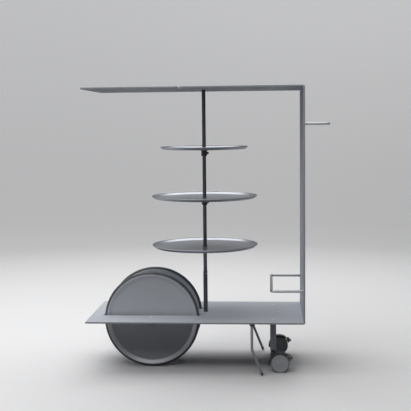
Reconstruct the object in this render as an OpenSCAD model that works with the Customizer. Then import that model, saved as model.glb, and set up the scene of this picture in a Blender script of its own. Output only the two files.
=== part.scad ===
// Bar cart: one folded sheet frame on two large wheels and two small casters,
// with a pole that carries three round trays. Millimetres, floor at z = 0,
// x runs along the cart, y across it (the front is -y), z up.

/* [Frame] */
// Length of the base and top plates
frame_length = 800; // [700:5:900]
// Depth of the folded sheet
frame_depth = 400; // [396:2:460]
// Height of the top face of the top plate above the top face of the base
frame_rise = 850; // [830:5:950]
// Thickness of the folded sheet
sheet = 6; // [5:0.5:7]
// Inside radius of the two folds
fold_radius = 2; // [1:0.5:6]

/* [Main wheels] */
// Diameter over the tyre
wheel_diameter = 360; // [340:2:380]
// Height of the base's top face above the wheel axle
axle_drop = 17; // [16.5:0.5:22]
// Distance of the axle from the left end of the base
wheel_from_left = 229; // [215:1:245]
// Distance of each wheel's middle plane from the cart's middle plane
wheel_offset = 64; // [60:1:72]
// Diameter of the aluminium rim
rim_diameter = 342; // [322:2:350]
// Width of the rim
rim_width = 18; // [16:1:20]
// Width of the rim's raised face ring
rim_lip = 8; // [6:0.5:12]
// Width of the tyre
tyre_width = 12; // [10:0.5:14]
// Depth of the groove that the tyre sits in
tyre_groove = 3; // [2:0.5:4]
// Thickness of the wheel's disc
disc_thickness = 3; // [2:0.5:5]
// Diameter of the fixed axle
axle_diameter = 12; // [10:0.5:12]
// Width of each wheel slot in the base
slot_width = 26; // [26:1:32]
// Free length at each end of a wheel slot
slot_end_gap = 4; // [3:0.5:8]

/* [Pole and trays] */
// Distance of the pole from the left end of the base
pole_from_left = 428; // [424:1:445]
// Diameter of the lower pole tube
lower_pole_diameter = 16; // [15.5:0.5:18]
// Diameter of the upper pole
upper_pole_diameter = 14; // [12:0.5:14]
// Height of the lower pole tube
lower_pole_height = 158; // [130:1:165]
// Diameter of the two larger trays
large_tray_diameter = 400; // [380:2:420]
// Diameter of the top tray
top_tray_diameter = 332; // [300:2:380]
// Height of the lowest tray's rim above the base
first_tray_height = 262; // [255:1:275]
// Rise from one tray to the next
tray_spacing = 185; // [180:1:195]
// Height of a tray's rim above its underside
tray_rim_height = 11; // [9:0.5:14]
// Thickness of the tray sheet
tray_sheet = 2; // [1.5:0.25:3]
// Length of a tray's sliding collar below its flange
collar_length = 22; // [20:1:26]
// Outside diameter of a tray's sliding collar
collar_diameter = 22; // [20:1:28]

/* [Glass slot in the top plate] */
// Width of the slot for the glass stems
glass_slot_width = 11; // [9:0.5:14]
// Distance of the slot behind the front edge
glass_slot_setback = 75; // [60:1:90]
// Distance of the slot's closed end from the left end
glass_slot_start = 92; // [80:1:120]
// Distance of the entry notch from the left end
glass_notch = 352; // [330:1:380]

/* [Rails] */
// Diameter of the guard and handle rod
rod_diameter = 10; // [8:0.5:12]
// Bend radius of the rod's centre line
rod_bend = 12; // [10:1:18]
// Distance of the rod's arms from the sheet's front and back edges
rod_inset = 22; // [18:1:40]
// Height of the bottle guard's centre line above the base
guard_height = 111; // [90:1:140]
// Reach of the bottle guard from the upright's inner face
guard_reach = 120; // [100:1:130]
// Height of the push handle's centre line above the base
handle_height = 713; // [650:1:760]
// Reach of the push handle from the upright's outer face
handle_reach = 90; // [70:1:110]

/* [Caster legs and casters] */
// Distance of the casters' swivel axes from the left end
caster_from_left = 685; // [680:1:700]
// Distance of the casters' swivel axes from the sheet's front and back edges
caster_inset = 61; // [58:1:70]
// Diameter of the caster wheels over the tyre
caster_diameter = 68; // [62:1:70]
// Distance of the caster axle behind the swivel axis
caster_trail = 25; // [22:1:26]
// Width over both wheels of a caster
caster_width = 26; // [24:1:28]
// Width of the folded caster legs
leg_width = 22; // [20:1:26]
// Thickness of the folded caster legs
leg_sheet = 5; // [4:0.5:6]
// Thickness of the caster's curved hood
hood_sheet = 5; // [4:0.5:6]
// Length of the dark neck between the caster and its leg
neck_length = 5; // [4:0.5:8]

/* [Parking stand] */
// Distance of the stand's hinge rod from the left end
stand_from_left = 608; // [600:1:615]
// Distance of the stand's legs from the sheet's front and back edges
stand_inset = 10; // [9:0.5:11]
// Diameter of the stand's rod
stand_diameter = 10; // [8:0.5:10]
// Height of the knee in the stand's legs above the floor
stand_knee = 96; // [90:1:110]
// Slant of the legs below the knee, in degrees
stand_slant = 22; // [18:1:24]
// Length of the rubber tips
stand_tip = 10; // [8:1:16]

/* [Fasteners and fits] */
// Diameter of the structural screws' shanks
screw_diameter = 6; // [5:0.5:6]
// Diameter of the structural screws' heads
screw_head = 11; // [10:0.5:12]
// Depth of the structural screws' countersunk heads
screw_head_depth = 2.5; // [2:0.25:3]
// Radial clearance of a shaft that turns or slides in a bore
running_gap = 0.05; // [0.02:0.01:0.1]
// Gap between faces that move past each other
face_gap = 0.3; // [0.2:0.1:0.5]

/* [Hidden] */
$fn = 64;

front = -1;
rear = 1;

// Levels
axle_z = wheel_diameter / 2;
base_z = axle_z + axle_drop;
under_z = base_z - sheet;
top_z = base_z + frame_rise;
ceiling_z = top_z - sheet;

// Stations along the cart, centred on the overall length
left_x = -(frame_length + handle_reach) / 2;
right_x = left_x + frame_length;
wall_x = right_x - sheet;
wheel_x = left_x + wheel_from_left;
pole_x = left_x + pole_from_left;
caster_x = left_x + caster_from_left;
stand_x = left_x + stand_from_left;
rod_y = frame_depth / 2 - rod_inset;
caster_offset = frame_depth / 2 - caster_inset;
stand_offset = frame_depth / 2 - stand_inset;

// Frame
outer_fold = fold_radius + sheet;
slot_corner = 4;
wheel_chord = 2 * sqrt(pow(axle_z, 2) - pow(axle_drop - sheet, 2));
slot_length = wheel_chord + 2 * slot_end_gap;
glass_slot_y = -frame_depth / 2 + glass_slot_setback;

// Axle, blocks and hub
axle_seat = 16;
block_width = 36;
block_wall = 7;
block_flare = 7;
block_foot = 4;
block_fillet = 5;
block_to_wheel = 20;
block_inner_y = wheel_offset + block_to_wheel;
block_length = 34;
block_screw_inset = 10;
block_screw_y = block_inner_y + block_length - block_screw_inset;
block_screw_depth = 14;
screw_end_gap = 1;
spacer_to_wheel = 18;
spacer_half = wheel_offset - spacer_to_wheel;
bush_wall = 2.5;
hub_sleeve_radius = axle_diameter / 2 + bush_wall + 1.5;
hub_boss_radius = 14;
hub_flange_radius = 32;
hub_flange = 4;
rivet_circle = 22;
rivet_radius = 2;
rivet_head = 3.5;
rivet_head_height = 1.5;
rim_radius = rim_diameter / 2;
dish_slope = 5;
lip_fall = 1.5;

// Rails
rail_screw_depth = 14;

// Pole
pole_overlap = 40;
pole_seat = 2;
lock_screw_radius = 3;
lock_screw_drop = 10;
lock_screw_head = 2;
pole_screw_depth = 16;

// Trays
tray_rim_run = 12;
tray_bead = 1.5;
tray_hub_radius = 18;
hub_lip = 1.5;
spigot_wall = 4;
spigot_height = 5;
flange_radius = 26;
flange_height = 3;
collar_gusset = 4;
collar_chamfer = 1.5;
knob_radius = 5;
knob_shank = 2;
knob_head = 6;

// Casters
wheel_gap = 4.5;
web_half = 4;
web_inset = 10;
caster_radius = caster_diameter / 2;
caster_tread = 3;
caster_axle_radius = 4;
caster_lip = 3;
caster_dish = 0.8;
caster_cap = 9;
hood_clearance = 3;
hood_inner = caster_radius + hood_clearance;
hood_outer = hood_inner + hood_sheet;
hood_middle = (hood_inner + hood_outer) / 2;
hood_shoulder = 3;
hood_bead = hood_sheet / 2 + 0.5;
hood_start = 52;
hood_end = 186;
stem_radius = 5;
stem_collar = 8;
stem_head = 7;
stem_head_height = 3;
stem_depth = 12;
boss_radius = 9;
boss_flare = 4;
boss_top = caster_radius + hood_outer + 3;
leg_bottom = boss_top + neck_length;
leg_back = 14;
leg_front = 12;
leg_flange = 6;
leg_bend = 2;
leg_outer = leg_bend + leg_sheet;
leg_corner = 5;
lever_angle = 38;
lever_radius = hood_outer + 1;
lever_eye = 5;
lug_half = 3;
cheek_gap = 0.4;
cheek_half = 6.5;
brake_pin_radius = 2;
paddle_length = 9.5;
paddle_slope = 36;
paddle_thickness = 6;
paddle_half = 9;
brake_press = 12;
shoe_gap = 0.6;
shoe_outer = 40;
shoe_start = 19;
shoe_half = 11;

// Parking stand
stand_radius = stand_diameter / 2;
stand_corner = 12;
knee_swell = 0.1;
hinge_z = under_z - 7;
saddle_to_leg = 40;
saddle_y = stand_offset - saddle_to_leg;
saddle_length = 24;
saddle_wall = 5;
floor_gap = 0.5;
tip_round = 2;
slant_length = (stand_knee - floor_gap - stand_radius * sin(stand_slant)) / cos(stand_slant);

// Countersunk screw: its flat head ends flush at the origin, its shank runs along -z
module screw(length) {
    radius = screw_diameter / 2;
    difference() {
        union() {
            screw_sink();
            translate([0, 0, -length]) cylinder(h = length - screw_head_depth + 0.01, r = radius);
        }
        translate([0, 0, -screw_head_depth * 0.6])
            cylinder(h = screw_head_depth, r = radius * 0.7, $fn = 6);
    }
}

// Cone of a countersunk head, its wide end at the origin or carried on past it
module screw_sink(over = 0) {
    shank = screw_diameter / 2;
    slope = (screw_head / 2 - shank) / screw_head_depth;
    depth = screw_head_depth + over;
    translate([0, 0, -screw_head_depth]) cylinder(h = depth, r1 = shank, r2 = shank + slope * depth);
}

// Box centred on x and y that starts at the given height
module block(x_size, y_size, z_low, z_high) {
    translate([-x_size / 2, -y_size / 2, z_low]) cube([x_size, y_size, z_high - z_low]);
}

// Cylinder along y, centred on y = 0
module y_rod(length, radius) {
    rotate([90, 0, 0]) cylinder(h = length, r = radius, center = true);
}

// Quarter turn of a round rod: it leaves the origin along +x and ends along +y
module rod_turn(bend, radius) {
    translate([0, bend, 0]) rotate([0, 0, -90])
        rotate_extrude(angle = 90) translate([bend, 0]) circle(r = radius);
}

// Section of a fold in sheet metal, a quarter ring where x and y are positive
module fold_ring(inside, thickness) {
    intersection() {
        difference() {
            circle(r = inside + thickness);
            circle(r = inside);
        }
        square(inside + thickness);
    }
}

// What rounding takes from a corner at the origin, with the material towards -x and -y
module corner_loss(radius) {
    translate([-radius, -radius]) difference() {
        square(radius + 1);
        circle(r = radius);
    }
}

// Folded section of the frame: base, upright and top plate
module frame_section() {
    fold_x = right_x - outer_fold;
    translate([left_x, under_z]) square([frame_length - outer_fold, sheet]);
    translate([left_x, ceiling_z]) square([frame_length - outer_fold, sheet]);
    translate([wall_x, under_z + outer_fold])
        square([sheet, frame_rise + sheet - 2 * outer_fold]);
    translate([fold_x, under_z + outer_fold]) rotate(-90) fold_ring(fold_radius, sheet);
    translate([fold_x, top_z - outer_fold]) fold_ring(fold_radius, sheet);
}

module slot_outline(length, width, corner) {
    square([length - 2 * corner, width], center = true);
    square([length, width - 2 * corner], center = true);
    for (x = [-1, 1], y = [-1, 1])
        translate([x * (length / 2 - corner), y * (width / 2 - corner)]) circle(r = corner);
}

// Path of the glass stems: in through the front edge, then to the left
module glass_slot_outline() {
    half = glass_slot_width / 2;
    start_x = left_x + glass_slot_start;
    notch_x = left_x + glass_notch;
    translate([notch_x - half, -frame_depth / 2 - 1])
        square([glass_slot_width, glass_slot_setback + 1]);
    translate([start_x, glass_slot_y - half]) square([notch_x - start_x, glass_slot_width]);
    for (x = [start_x, notch_x]) translate([x, glass_slot_y]) circle(r = half);
}

// Countersunk hole through the sheet below the origin
module sheet_hole() {
    translate([0, 0, -sheet - 1]) cylinder(h = sheet + 2, d = screw_diameter);
    screw_sink(0.5);
}

module folded_frame() {
    color("lightsteelblue") difference() {
        rotate([90, 0, 0]) linear_extrude(frame_depth, center = true) frame_section();
        for (side = [front, rear]) {
            translate([wheel_x, side * wheel_offset, under_z - 1])
                linear_extrude(sheet + 2) slot_outline(slot_length, slot_width, slot_corner);
            translate([wheel_x, side * block_screw_y, base_z]) sheet_hole();
            translate([caster_x, side * caster_offset, base_z]) sheet_hole();
            translate([right_x, side * rod_y, base_z + guard_height]) rotate([0, 90, 0])
                sheet_hole();
            translate([wall_x, side * rod_y, base_z + handle_height]) rotate([0, -90, 0])
                sheet_hole();
        }
        translate([pole_x, 0, base_z - pole_seat]) cylinder(h = sheet, d = lower_pole_diameter);
        translate([pole_x, 0, under_z]) mirror([0, 0, 1]) sheet_hole();
        translate([pole_x, 0, top_z]) sheet_hole();
        translate([0, 0, ceiling_z - 1]) linear_extrude(sheet + 2) glass_slot_outline();
    }
}

// Side view of a pillow block: round below the axle, with a flared foot under the base
module axle_block_outline() {
    half = block_width / 2;
    radius = axle_diameter / 2 + block_wall;
    foot_z = under_z - block_foot;
    translate([-half, axle_z]) square([block_width, under_z - axle_z]);
    translate([0, axle_z]) intersection() {
        circle(r = half);
        translate([-half, -radius]) square([block_width, radius]);
    }
    translate([-half - block_flare, foot_z]) square([block_width + 2 * block_flare, block_foot]);
    for (x = [0, 1]) mirror([x, 0]) translate([half + block_fillet, foot_z - block_fillet])
        difference() {
            translate([-block_fillet, 0]) square(block_fillet);
            circle(r = block_fillet);
        }
}

// Pillow blocks under the base that hold the ends of the fixed axle
module axle_block(side) {
    translate([wheel_x, side * (block_inner_y + block_length / 2), 0]) difference() {
        rotate([90, 0, 0]) linear_extrude(block_length, center = true) axle_block_outline();
        translate([0, -side * (block_length - axle_seat) / 2, axle_z])
            y_rod(axle_seat + 0.02, axle_diameter / 2);
        translate([0, side * (block_screw_y - block_inner_y - block_length / 2),
                   under_z - block_screw_depth])
            cylinder(h = block_screw_depth + 1, d = screw_diameter);
    }
}

module axle_blocks() {
    color("dimgray") for (side = [front, rear]) axle_block(side);
}

module main_axle() {
    color("silver") translate([wheel_x, 0, axle_z])
        y_rod(2 * (block_inner_y + axle_seat), axle_diameter / 2);
}

module axle_spacer() {
    color("dimgray") translate([wheel_x, 0, axle_z]) difference() {
        y_rod(2 * spacer_half, hub_sleeve_radius);
        y_rod(2 * spacer_half + 2, axle_diameter / 2);
    }
}

module axle_block_screws() {
    color("silver") for (side = [front, rear])
        translate([wheel_x, side * block_screw_y, base_z]) screw(sheet + block_screw_depth - screw_end_gap);
}

// Frame of one main wheel: origin at its centre, +z outwards from the cart
module at_wheel(side) {
    translate([wheel_x, side * wheel_offset, axle_z]) rotate([side < 0 ? 90 : -90, 0, 0])
        children();
}

module wheel_disc(side) {
    half = disc_thickness / 2;
    edge = rim_width / 2;
    tread = tyre_width / 2;
    lip_inner = rim_radius - rim_lip;
    floor_radius = lip_inner - dish_slope;
    seat = rim_radius - tyre_groove;
    at_wheel(side) difference() {
        rotate_extrude($fn = 128) polygon([
            [hub_boss_radius, -half], [floor_radius, -half], [lip_inner, lip_fall - edge],
            [rim_radius, -edge], [rim_radius, -tread], [seat, -tread], [seat, tread],
            [rim_radius, tread], [rim_radius, edge], [lip_inner, edge - lip_fall],
            [floor_radius, half], [hub_boss_radius, half]
        ]);
        rivet_holes(-half - 1, disc_thickness + 2);
        for (angle = [0:90:270])
            rotate([0, 0, angle]) translate([rivet_circle, 0, half - rivet_head_height])
                cylinder(h = rivet_head_height, r1 = rivet_radius, r2 = rivet_head);
    }
}

module rivet_holes(low, height) {
    for (angle = [0:90:270]) rotate([0, 0, angle]) translate([rivet_circle, 0, low])
        cylinder(h = height, r = rivet_radius);
}

module wheel_tyre(side) {
    half = tyre_width / 2;
    crown = wheel_diameter / 2 - half;
    seat = rim_radius - tyre_groove;
    at_wheel(side) rotate_extrude($fn = 128) {
        translate([seat, -half]) square([crown - seat, tyre_width]);
        intersection() {
            translate([crown, 0]) circle(r = half);
            translate([crown, -half]) square([half, tyre_width]);
        }
    }
}

// Hub with its riveted flange on the disc's inner side
module wheel_hub(side) {
    low = -(wheel_offset - spacer_half) + face_gap;
    high = block_inner_y - wheel_offset - face_gap;
    half = disc_thickness / 2;
    at_wheel(side) difference() {
        union() {
            translate([0, 0, low]) cylinder(h = high - low, r = hub_sleeve_radius);
            translate([0, 0, -half - hub_flange])
                cylinder(h = disc_thickness + hub_flange, r = hub_boss_radius);
            translate([0, 0, -half - hub_flange]) cylinder(h = hub_flange, r = hub_flange_radius);
        }
        translate([0, 0, low - 1])
            cylinder(h = high - low + 2, r = axle_diameter / 2 + bush_wall);
        rivet_holes(-half - hub_flange - 1, hub_flange + 2);
    }
}

module wheel_bush(side) {
    low = -(wheel_offset - spacer_half) + face_gap;
    high = block_inner_y - wheel_offset - face_gap;
    at_wheel(side) translate([0, 0, low]) difference() {
        cylinder(h = high - low, r = axle_diameter / 2 + bush_wall);
        translate([0, 0, -1]) cylinder(h = high - low + 2, r = axle_diameter / 2 + running_gap);
    }
}

// Rivets with a raised head on the inner flange and a flush one in the disc's outer face
module wheel_rivets(side) {
    half = disc_thickness / 2;
    at_wheel(side) for (angle = [0:90:270])
        rotate([0, 0, angle]) translate([rivet_circle, 0, 0]) {
            translate([0, 0, -half - hub_flange])
                cylinder(h = hub_flange + disc_thickness, r = rivet_radius);
            translate([0, 0, -half - hub_flange - rivet_head_height])
                cylinder(h = rivet_head_height, r = rivet_head);
            translate([0, 0, half - rivet_head_height])
                cylinder(h = rivet_head_height, r1 = rivet_radius, r2 = rivet_head);
        }
}

// Pole: a lower tube that the upper rod stands in, locked by a small screw
module lower_pole() {
    color("lightslategray") translate([pole_x, 0, base_z]) difference() {
        translate([0, 0, -pole_seat])
            cylinder(h = lower_pole_height + pole_seat, d = lower_pole_diameter);
        translate([0, 0, lower_pole_height - pole_overlap])
            cylinder(h = pole_overlap + 1, d = upper_pole_diameter);
        translate([0, 0, -pole_seat - 1])
            cylinder(h = pole_screw_depth + pole_seat + 1, d = screw_diameter);
        lock_screw_hole();
    }
}

module lock_screw_hole() {
    translate([0, 0, lower_pole_height - lock_screw_drop]) rotate([0, 90, -45])
        cylinder(h = lower_pole_diameter, r = lock_screw_radius);
}

module upper_pole() {
    low = lower_pole_height - pole_overlap;
    high = frame_rise - sheet;
    color("lightslategray") translate([pole_x, 0, base_z]) difference() {
        translate([0, 0, low]) cylinder(h = high - low, d = upper_pole_diameter);
        translate([0, 0, high - pole_screw_depth])
            cylinder(h = pole_screw_depth + 1, d = screw_diameter);
        lock_screw_hole();
    }
}

module pole_lock_screw() {
    reach = lower_pole_diameter / 2 + lock_screw_head;
    color("silver") translate([pole_x, 0, base_z + lower_pole_height - lock_screw_drop])
        rotate([0, 90, -45]) cylinder(h = reach, r = lock_screw_radius);
}

module pole_end_screws() {
    length = sheet + pole_screw_depth - screw_end_gap;
    color("silver") {
        translate([pole_x, 0, top_z]) screw(length);
        translate([pole_x, 0, under_z]) mirror([0, 0, 1]) screw(length);
    }
}

// Round tray with a sloping raised rim and a rolled edge, its underside at z = 0
module tray(diameter, level) {
    radius = diameter / 2;
    floor_radius = radius - tray_rim_run;
    bead_z = tray_rim_height - tray_bead;
    color("gainsboro") translate([pole_x, 0, level]) rotate_extrude($fn = 128) {
        polygon([
            [tray_hub_radius, 0], [floor_radius, 0], [radius - tray_bead, bead_z - tray_bead],
            [radius - 2 * tray_bead, bead_z], [floor_radius - tray_sheet / 2, tray_sheet],
            [tray_hub_radius, tray_sheet]
        ]);
        translate([radius - tray_bead, bead_z]) circle(r = tray_bead);
    }
}

// Hub ring pressed into a tray, with a low lip round the collar's spigot
module tray_hub(level) {
    bore = upper_pole_diameter / 2 + spigot_wall + running_gap;
    color("silver") translate([pole_x, 0, level]) rotate_extrude() polygon([
        [bore, 0], [tray_hub_radius, 0], [tray_hub_radius, tray_sheet],
        [bore + 2 * hub_lip, tray_sheet], [bore + hub_lip, tray_sheet + hub_lip],
        [bore, tray_sheet + hub_lip]
    ]);
}

// Sliding collar: a flange under the tray and a spigot through its middle
module tray_collar(level) {
    bore = upper_pole_diameter / 2 + running_gap;
    spigot = upper_pole_diameter / 2 + spigot_wall;
    sleeve = collar_diameter / 2;
    low = -flange_height - collar_length;
    color("darkslategray") translate([pole_x, 0, level - face_gap]) difference() {
        rotate_extrude() polygon([
            [0, low], [sleeve - collar_chamfer, low], [sleeve, low + collar_chamfer],
            [sleeve, -flange_height - collar_gusset], [sleeve + collar_gusset, -flange_height],
            [flange_radius - 1, -flange_height], [flange_radius, 1 - flange_height],
            [flange_radius, 0], [spigot, 0], [spigot, spigot_height - 1],
            [spigot - 1, spigot_height], [0, spigot_height]
        ]);
        translate([0, 0, -flange_height - collar_length - 1])
            cylinder(h = spigot_height + flange_height + collar_length + 2, r = bore);
        translate([0, 0, -flange_height - collar_length / 2]) rotate([0, 90, 0])
            cylinder(h = collar_diameter, r = knob_shank + running_gap);
    }
}

// Clamping knob of a collar, on its right side
module tray_knob(level) {
    z = level - face_gap - flange_height - collar_length / 2;
    start = upper_pole_diameter / 2 + face_gap;
    face = collar_diameter / 2 + face_gap;
    color("darkslategray") translate([pole_x, 0, z]) rotate([0, 90, 0]) {
        translate([0, 0, start]) cylinder(h = face - start + 0.01, r = knob_shank);
        difference() {
            translate([0, 0, face]) cylinder(h = knob_head, r = knob_radius);
            for (angle = [0:45:315]) rotate([0, 0, angle])
                translate([knob_radius + 0.6, 0, face - 1]) cylinder(h = knob_head + 2, r = 1.2);
        }
    }
}

function tray_level(count) = base_z + first_tray_height + count * tray_spacing - tray_rim_height;

// Rod bent to a U: its arms end on the plane x = 0 and its bow lies at +x
module rod_loop(reach) {
    radius = rod_diameter / 2;
    bow_x = reach - radius;
    for (side = [front, rear]) {
        translate([0, side * rod_y, 0]) rotate([0, 90, 0])
            cylinder(h = bow_x - rod_bend, r = radius);
        translate([bow_x - rod_bend, side * rod_y, 0]) mirror([0, side > 0 ? 1 : 0, 0])
            rod_turn(rod_bend, radius);
    }
    translate([bow_x, 0, 0]) y_rod(2 * (rod_y - rod_bend), radius);
}

module rod_screw_holes(depth) {
    for (side = [front, rear]) translate([-1, side * rod_y, 0]) rotate([0, 90, 0])
        cylinder(h = depth + 1, d = screw_diameter);
}

module bottle_guard() {
    color("gainsboro") translate([wall_x, 0, base_z + guard_height]) mirror([1, 0, 0])
        difference() {
            rod_loop(guard_reach);
            rod_screw_holes(rail_screw_depth);
        }
}

module push_handle() {
    color("gainsboro") translate([right_x, 0, base_z + handle_height]) difference() {
        rod_loop(handle_reach);
        rod_screw_holes(rail_screw_depth);
    }
}

module rail_screws() {
    length = sheet + rail_screw_depth - screw_end_gap;
    color("silver") for (side = [front, rear]) {
        translate([right_x, side * rod_y, base_z + guard_height]) rotate([0, 90, 0])
            screw(length);
        translate([wall_x, side * rod_y, base_z + handle_height]) rotate([0, -90, 0])
            screw(length);
    }
}

// Frame of one caster: origin on the floor under its swivel axis, +y outwards
module at_caster(side) {
    translate([caster_x, side * caster_offset, 0]) mirror([0, side < 0 ? 1 : 0, 0]) children();
}

// Section of a folded leg: its web outwards, a top tab and a foot tab towards the middle
module leg_section() {
    back = -leg_back - leg_sheet;
    tab_y = back + leg_outer;
    translate([back, leg_bottom + leg_outer])
        square([leg_sheet, under_z - leg_bottom - 2 * leg_outer]);
    for (z = [leg_bottom, under_z - leg_sheet])
        translate([tab_y, z]) square([leg_front - tab_y, leg_sheet]);
    translate([tab_y, leg_bottom + leg_outer]) rotate(180) fold_ring(leg_bend, leg_sheet);
    translate([tab_y, under_z - leg_outer]) rotate(90) fold_ring(leg_bend, leg_sheet);
}

// Leg seen from above: rounded tab corners, and the web's corner where its flange folds
module leg_plan() {
    back = -leg_back - leg_sheet;
    half = leg_width / 2;
    difference() {
        translate([-half, back]) square([leg_width, leg_front - back]);
        translate([half, leg_front]) corner_loss(leg_corner);
        translate([-half, leg_front]) mirror([1, 0]) corner_loss(leg_corner);
        translate([half, back]) mirror([0, 1]) corner_loss(leg_outer);
    }
}

// Stiffening flange along the web, seen from above
module leg_flange_plan() {
    flange_y = leg_outer - leg_back - leg_sheet;
    half = leg_width / 2;
    translate([half - leg_outer, flange_y]) rotate(-90) fold_ring(leg_bend, leg_sheet);
    translate([half - leg_sheet, flange_y]) square([leg_sheet, leg_flange - leg_bend]);
}

// Folded leg between the base and its caster
module caster_leg(side) {
    color("slategray") at_caster(side) mirror([0, 1, 0]) difference() {
        union() {
            intersection() {
                rotate([90, 0, 90]) linear_extrude(leg_width, center = true) leg_section();
                linear_extrude(under_z + 1) leg_plan();
            }
            translate([0, 0, leg_bottom + leg_outer])
                linear_extrude(under_z - leg_bottom - 2 * leg_outer) leg_flange_plan();
        }
        translate([0, 0, leg_bottom - 1])
            cylinder(h = leg_sheet + 2, r = stem_radius + running_gap);
        translate([0, 0, under_z - leg_sheet - 1])
            cylinder(h = leg_sheet + 2, d = screw_diameter);
    }
}

module caster_leg_screws() {
    nut_height = 5;
    color("silver") for (side = [front, rear])
        translate([caster_x, side * caster_offset, 0]) {
            translate([0, 0, base_z]) screw(sheet + leg_sheet + nut_height);
            translate([0, 0, under_z - leg_sheet - nut_height]) difference() {
                cylinder(h = nut_height, r = 5, $fn = 6);
                translate([0, 0, -1]) cylinder(h = nut_height + 2, d = screw_diameter);
            }
        }
}

// Side view of a caster: the axle at the origin, x backwards, y up, z along the axle
module at_axle() {
    translate([caster_trail, 0, caster_radius]) rotate([90, 0, 0]) children();
}

// Drawing in that side view, extruded across the caster
module caster_plate(half_width) {
    at_axle() linear_extrude(2 * half_width, center = true) children();
}

// Section of the hood's cover: x is the distance from the axle, y runs along the axle
module hood_section() {
    half = caster_width / 2;
    translate([hood_inner, -half]) square([hood_sheet - hood_shoulder, caster_width]);
    translate([hood_inner, hood_shoulder - half])
        square([hood_sheet, caster_width - 2 * hood_shoulder]);
    for (side = [front, rear])
        translate([hood_outer - hood_shoulder, side * (half - hood_shoulder)])
            circle(r = hood_shoulder);
}

// Curved cover with rounded shoulders and a rolled bead at each end
module hood_cover() {
    rotate([0, 0, hood_start]) rotate_extrude(angle = hood_end - hood_start, $fn = 96)
        hood_section();
    for (angle = [hood_start, hood_end]) rotate([0, 0, angle]) translate([hood_middle, 0, 0])
        cylinder(h = caster_width - 2 * hood_shoulder - 1, r = hood_bead, center = true);
}

// Lug that carries the brake's pin past the end of the hood
module lever_lug() {
    difference() {
        union() {
            translate([0, 0, -lug_half]) linear_extrude(2 * lug_half) at_lever()
                circle(r = lever_eye);
            rotate([0, 0, lever_angle]) rotate_extrude(angle = hood_start + 3 - lever_angle, $fn = 96)
                translate([hood_inner + 0.5, -lug_half]) square([hood_sheet - 1, 2 * lug_half]);
        }
        translate([0, 0, -lug_half - 1]) linear_extrude(2 * lug_half + 2) at_lever()
            circle(r = brake_pin_radius + running_gap);
    }
}

module web_outline() {
    difference() {
        union() {
            circle(r = caster_radius - web_inset);
            intersection() {
                circle(r = hood_inner + 1);
                rotate(hood_start) square(hood_outer * 2);
            }
        }
        circle(r = caster_axle_radius + running_gap);
    }
}

module caster_hood(side) {
    color("dimgray") at_caster(side) difference() {
        union() {
            at_axle() hood_cover();
            caster_plate(web_half) web_outline();
            at_axle() lever_lug();
            difference() {
                translate([0, 0, caster_radius]) {
                    cylinder(h = boss_top - caster_radius, r = boss_radius);
                    cylinder(h = hood_outer, r1 = boss_radius + boss_flare, r2 = boss_radius);
                }
                caster_plate(caster_width) circle(r = hood_inner, $fn = 96);
            }
        }
        translate([0, 0, boss_top - stem_depth]) cylinder(h = stem_depth + 1, r = stem_radius);
    }
}

// Swivel stem: pressed into the hood's boss, turning in the leg's foot tab
module caster_stem(side) {
    color("darkslategray") at_caster(side) {
        translate([0, 0, boss_top - stem_depth])
            cylinder(h = leg_bottom + leg_sheet - boss_top + stem_depth + face_gap, r = stem_radius);
        translate([0, 0, boss_top]) cylinder(h = neck_length - face_gap, r = stem_collar);
        translate([0, 0, leg_bottom + leg_sheet + face_gap])
            cylinder(h = stem_head_height, r = stem_head);
    }
}

// Two wheels on one axle, each with a shallow dish between its lip and its cap
module caster_wheels(side) {
    inner = caster_radius - caster_tread;
    depth = caster_width / 2 - wheel_gap;
    floor_z = depth - caster_dish;
    lip = inner - caster_lip;
    color("lightgray") at_caster(side) translate([caster_trail, 0, caster_radius])
        for (turn = [-90, 90]) rotate([turn, 0, 0]) translate([0, 0, wheel_gap]) difference() {
            rotate_extrude($fn = 96) polygon([
                [0, 0], [inner, 0], [inner, depth - 1], [inner - 1, depth], [lip, depth],
                [lip - 1, floor_z], [caster_cap + 1, floor_z], [caster_cap, depth], [0, depth]
            ]);
            translate([0, 0, -1]) cylinder(h = depth, r = caster_axle_radius);
        }
}

module caster_tyres(side) {
    inner = caster_radius - caster_tread;
    depth = caster_width / 2 - wheel_gap - 1.5;
    color("dimgray") at_caster(side) translate([caster_trail, 0, caster_radius])
        for (turn = [-90, 90]) rotate([turn, 0, 0]) translate([0, 0, wheel_gap])
            rotate_extrude($fn = 96) polygon([
                [inner, 0], [caster_radius - 1, 0], [caster_radius, 1],
                [caster_radius, depth - 1], [caster_radius - 1, depth], [inner, depth]
            ]);
}

module caster_axle(side) {
    color("silver") at_caster(side) translate([caster_trail, 0, caster_radius])
        y_rod(caster_width - 2, caster_axle_radius);
}

// Place of the brake's pin in the caster's side view
module at_lever() {
    translate([lever_radius * cos(lever_angle), lever_radius * sin(lever_angle)]) children();
}

// Foot paddle with three grip ribs across its upper face
module paddle_outline() {
    reach = paddle_length - paddle_thickness / 2;
    at_lever() rotate(-paddle_slope) translate([lever_eye + cheek_gap, -paddle_thickness / 2]) {
        square([reach, paddle_thickness]);
        translate([reach, paddle_thickness / 2]) circle(d = paddle_thickness);
        for (step = [0:2]) translate([reach * (1 + step) / 3.5, paddle_thickness]) circle(r = 0.7);
    }
}

// Shoe that nearly meets the tread when the lever is pressed, as it lies at rest
module shoe_outline(end) {
    size = 2 * shoe_outer;
    at_lever() rotate(brake_press)
        translate([-lever_radius * cos(lever_angle), -lever_radius * sin(lever_angle)])
            intersection() {
                difference() {
                    circle(r = shoe_outer, $fn = 96);
                    circle(r = caster_radius + shoe_gap, $fn = 96);
                }
                polygon([
                    [0, 0], size * [cos(shoe_start), sin(shoe_start)], size * [cos(end), sin(end)]
                ]);
            }
}

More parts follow.
